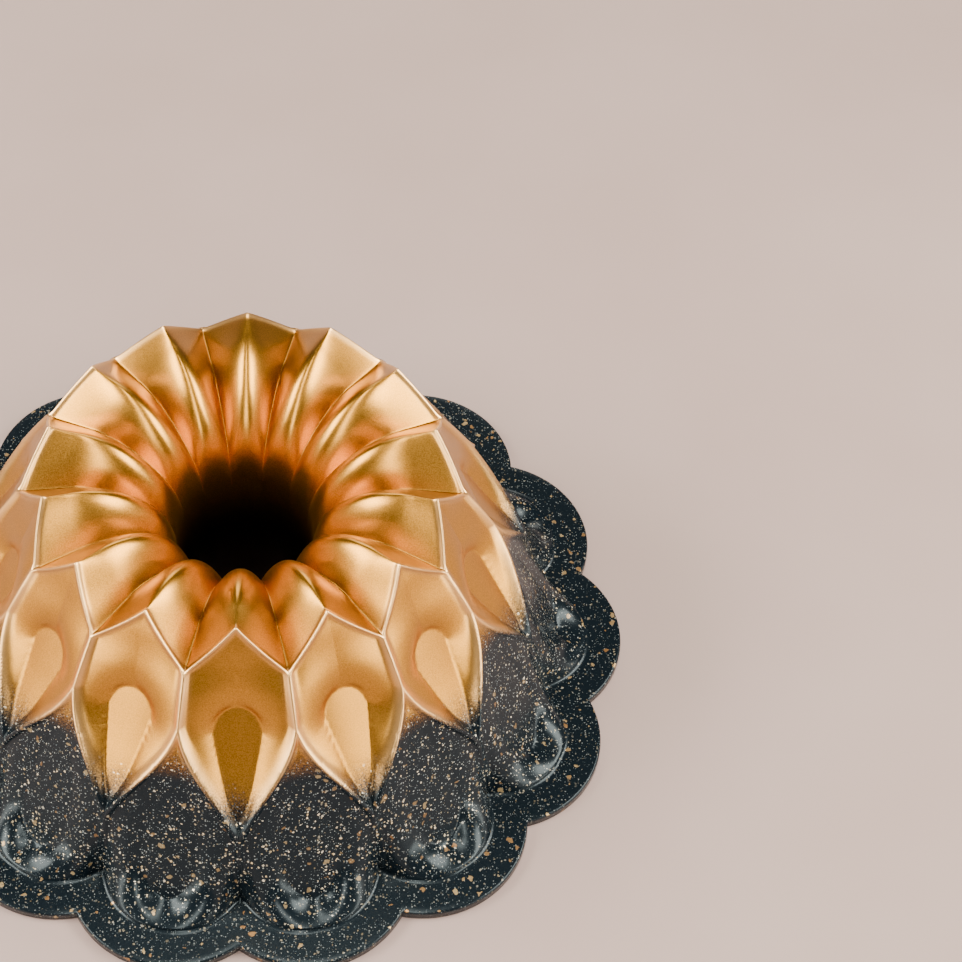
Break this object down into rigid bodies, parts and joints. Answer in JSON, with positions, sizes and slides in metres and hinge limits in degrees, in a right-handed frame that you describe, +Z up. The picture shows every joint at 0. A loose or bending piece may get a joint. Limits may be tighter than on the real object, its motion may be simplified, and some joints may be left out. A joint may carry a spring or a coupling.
{
  "type": "bundt pan",
  "caption": "Cast ring-cake pan standing crown up: open centre tube, fluted crown with a zigzag edge, rows of dished petals down the wall and a scalloped rim flange.",
  "frame": {"origin": "On the table under the centre of the tube, in the plane of the rim flange's underside, with the pan standing crown up as pictured.", "axes": "+Z up along the tube's axis through the crown. -Y towards the front, through the crest of one flute and the tip of the petal under it; the sectors repeat evenly about Z."},
  "size_m": [0.2606, 0.256, 0.101],
  "materials": {
    "cast_metal": "fine cast satin",
    "gold_lacquer": "fine metallic lacquer, satin gloss",
    "granite_enamel": "gloss black with pale and gold specks",
    "granite_release": "satin black non-stick with fine specks"
  },
  "bodies": {
    "root": {"pan_casting": "cast_metal", "gold_lacquer_coat": "gold_lacquer", "granite_outer_coat": "granite_enamel", "granite_release_coat": "granite_release"}
  },
  "joints": []
}
